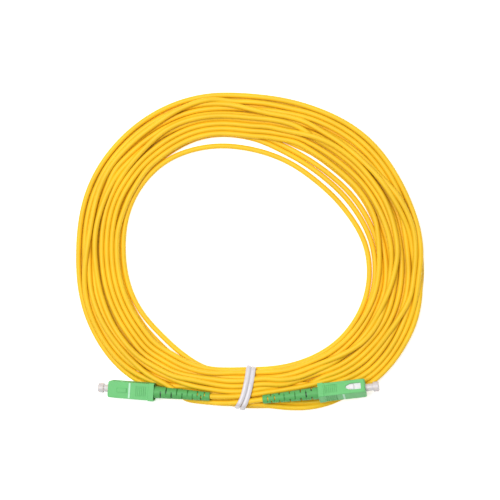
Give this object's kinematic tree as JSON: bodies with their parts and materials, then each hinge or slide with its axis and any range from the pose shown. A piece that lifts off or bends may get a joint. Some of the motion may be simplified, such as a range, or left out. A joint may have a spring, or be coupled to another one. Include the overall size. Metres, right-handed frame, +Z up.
{
  "type": "fiber optic patch cord",
  "caption": "Coiled simplex fiber optic patch cord with an angled-polish square push-pull connector, strain boot and dust cap on each end, held by a twist tie.",
  "frame": {"origin": "under the middle of the whole coil, on the surface it lies on", "axes": "+Z up; +X along the coil's longer side, from the first connector to the second; the connectors lie on the -Y side"},
  "size_m": [0.1886, 0.1711, 0.0175],
  "materials": {
    "cable_jacket": "satin PVC jacket",
    "housing_green": "moulded plastic, semi-gloss",
    "boot_green": "soft moulded elastomer, satin",
    "frame_white": "moulded plastic, semi-gloss",
    "zirconia": "polished zirconia ceramic",
    "nickel": "nickel plated",
    "spring_steel": "drawn stainless wire",
    "crimp_metal": "soft drawn metal",
    "aramid": "loose yellow yarn",
    "buffer_white": "smooth buffer over glass",
    "guide_tube": "slippery fluoropolymer",
    "cap_plastic": "translucent soft plastic",
    "tie_plastic": "smooth plastic over wire",
    "tie_wire": "annealed wire"
  },
  "bodies": {
    "cord": {"cable_coil": "cable_jacket", "cable_lead_a": "cable_jacket", "cable_lead_b": "cable_jacket", "twist_tie_coating": "tie_plastic", "twist_tie_wire": "tie_wire", "plug_frame_a": "frame_white", "ferrule_spring_a": "spring_steel", "rear_body_a": "nickel", "guide_tube_a": "guide_tube", "aramid_yarn_a": "aramid", "crimp_sleeve_a": "crimp_metal", "cable_end_a": "cable_jacket", "strain_boot_a": "boot_green", "plug_frame_b": "frame_white", "ferrule_spring_b": "spring_steel", "rear_body_b": "nickel", "guide_tube_b": "guide_tube", "aramid_yarn_b": "aramid", "crimp_sleeve_b": "crimp_metal", "cable_end_b": "cable_jacket", "strain_boot_b": "boot_green"},
    "grip_a": {"grip_housing_a": "housing_green"},
    "ferrule_set_a": {"ferrule_a": "zirconia", "ferrule_flange_a": "nickel", "buffered_fibre_a": "buffer_white"},
    "cap_a": {"dust_cap_a": "cap_plastic"},
    "grip_b": {"grip_housing_b": "housing_green"},
    "ferrule_set_b": {"ferrule_b": "zirconia", "ferrule_flange_b": "nickel", "buffered_fibre_b": "buffer_white"},
    "cap_b": {"dust_cap_b": "cap_plastic"}
  },
  "joints": [
    {"name": "grip_slide_a", "type": "slide", "parent": "cord", "child": "grip_a", "axis": [0.9963, -0.0679, 0.0523], "range_m": [0, 0.002]},
    {"name": "ferrule_slide_a", "type": "slide", "parent": "cord", "child": "ferrule_set_a", "axis": [0.9963, -0.0679, 0.0523], "range_m": [0, 0.001], "stiffness_N_per_m": 2500, "springref_m": -0.003, "deforming": ["ferrule_spring_a"]},
    {"name": "cap_slide_a", "type": "slide", "parent": "ferrule_set_a", "child": "cap_a", "axis": [-0.9963, 0.0679, -0.0523], "range_m": [0, 0.016]},
    {"name": "grip_slide_b", "type": "slide", "parent": "cord", "child": "grip_b", "axis": [-0.9908, -0.1252, -0.0523], "range_m": [0, 0.002]},
    {"name": "ferrule_slide_b", "type": "slide", "parent": "cord", "child": "ferrule_set_b", "axis": [-0.9908, -0.1252, -0.0523], "range_m": [0, 0.001], "stiffness_N_per_m": 2500, "springref_m": -0.003, "deforming": ["ferrule_spring_b"]},
    {"name": "cap_slide_b", "type": "slide", "parent": "ferrule_set_b", "child": "cap_b", "axis": [0.9908, 0.1252, 0.0523], "range_m": [-0.001, 0.016]}
  ]
}
